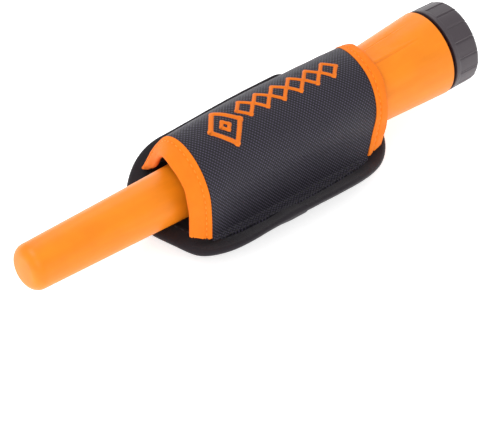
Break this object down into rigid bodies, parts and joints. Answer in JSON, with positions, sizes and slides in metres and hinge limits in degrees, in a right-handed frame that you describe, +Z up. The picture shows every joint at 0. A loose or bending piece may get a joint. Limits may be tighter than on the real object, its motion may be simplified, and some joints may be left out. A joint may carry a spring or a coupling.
{
  "type": "pinpointer probe",
  "caption": "Hand-held tapered search probe with a screw-on battery cap and push button, carried in a cloth belt holster it draws out of.",
  "frame": {"origin": "centre of the underside of the whole object, on the surface that the belt loop lies on", "axes": "+X along the probe from its tip to the battery cap, +Z up out of the holster back panel towards the sleeve"},
  "size_m": [0.2464, 0.076, 0.0518],
  "materials": {
    "shell": "satin orange, finely textured",
    "cap": "satin dark grey",
    "seal": "soft black",
    "button": "soft dark grey",
    "sleeve_cloth": "basket-weave nylon",
    "tape": "folded woven tape",
    "panel_cloth": "smooth woven lining",
    "foam": "closed-cell foam",
    "binding": "ribbed edge tape",
    "webbing": "woven webbing",
    "bobbin": "natural moulded plastic",
    "ferrite": "sintered, dull",
    "copper": "enamelled winding",
    "wire": "insulated lead",
    "board": "solder resist",
    "chip": "moulded black",
    "steel": "plated",
    "can": "drawn can",
    "lens": "clear moulded",
    "battery_case": "plain printed metal jacket"
  },
  "bodies": {
    "holster": {"holster_sleeve": "sleeve_cloth", "tip_tape": "tape", "rear_tape": "tape", "panel_lining": "panel_cloth", "panel_foam": "foam", "panel_backing": "panel_cloth", "edge_binding": "binding", "belt_loop": "webbing"},
    "probe": {"probe_housing": "shell", "coil_former": "bobbin", "ferrite_rod": "ferrite", "search_coil": "copper", "coil_leads": "copper", "board_tray": "bobbin", "circuit_board": "board", "board_screws": "steel", "control_chip": "chip", "driver_transistor": "chip", "storage_capacitors": "can", "sounder": "chip", "motor_bracket": "steel", "vibration_motor": "steel", "tact_switch": "chip", "status_light": "lens", "light_pipe": "lens", "bulkhead": "bobbin", "battery_leads": "wire", "battery_snap": "chip", "battery_terminals": "steel", "battery": "battery_case"},
    "button": {"push_button": "button", "switch_plunger": "bobbin"},
    "motor_rotor": {"motor_weight": "steel"},
    "cap_seal": {"cap_o_ring": "seal"},
    "battery_cap": {"battery_cap": "cap", "cap_end": "cap", "cap_foam_pad": "foam"}
  },
  "joints": [
    {"name": "probe_draw", "type": "slide", "parent": "holster", "child": "probe", "axis": [1, 0, 0], "range_m": [0, 0.195]},
    {"name": "button_press", "type": "slide", "parent": "probe", "child": "button", "axis": [0, 0, -1], "range_m": [0, 0.0008], "stiffness_N_per_m": 1500, "springref_m": -0.0004},
    {"name": "motor_spin", "type": "hinge", "parent": "probe", "child": "motor_rotor", "pos_m": [0.0048, 0, 0.0202], "axis": [1, 0, 0], "continuous": true},
    {"name": "cap_travel", "type": "slide", "parent": "probe", "child": "cap_seal", "axis": [1, 0, 0], "range_m": [0, 0.0105]},
    {"name": "cap_turn", "type": "hinge", "parent": "cap_seal", "child": "battery_cap", "pos_m": [0.1168, 0, 0.03032], "axis": [1, 0, 0], "range_deg": [0, 1079]}
  ],
  "couplings": [
    {"joint": "cap_travel", "follows": "cap_turn", "m_per_rad": 0.000557}
  ]
}
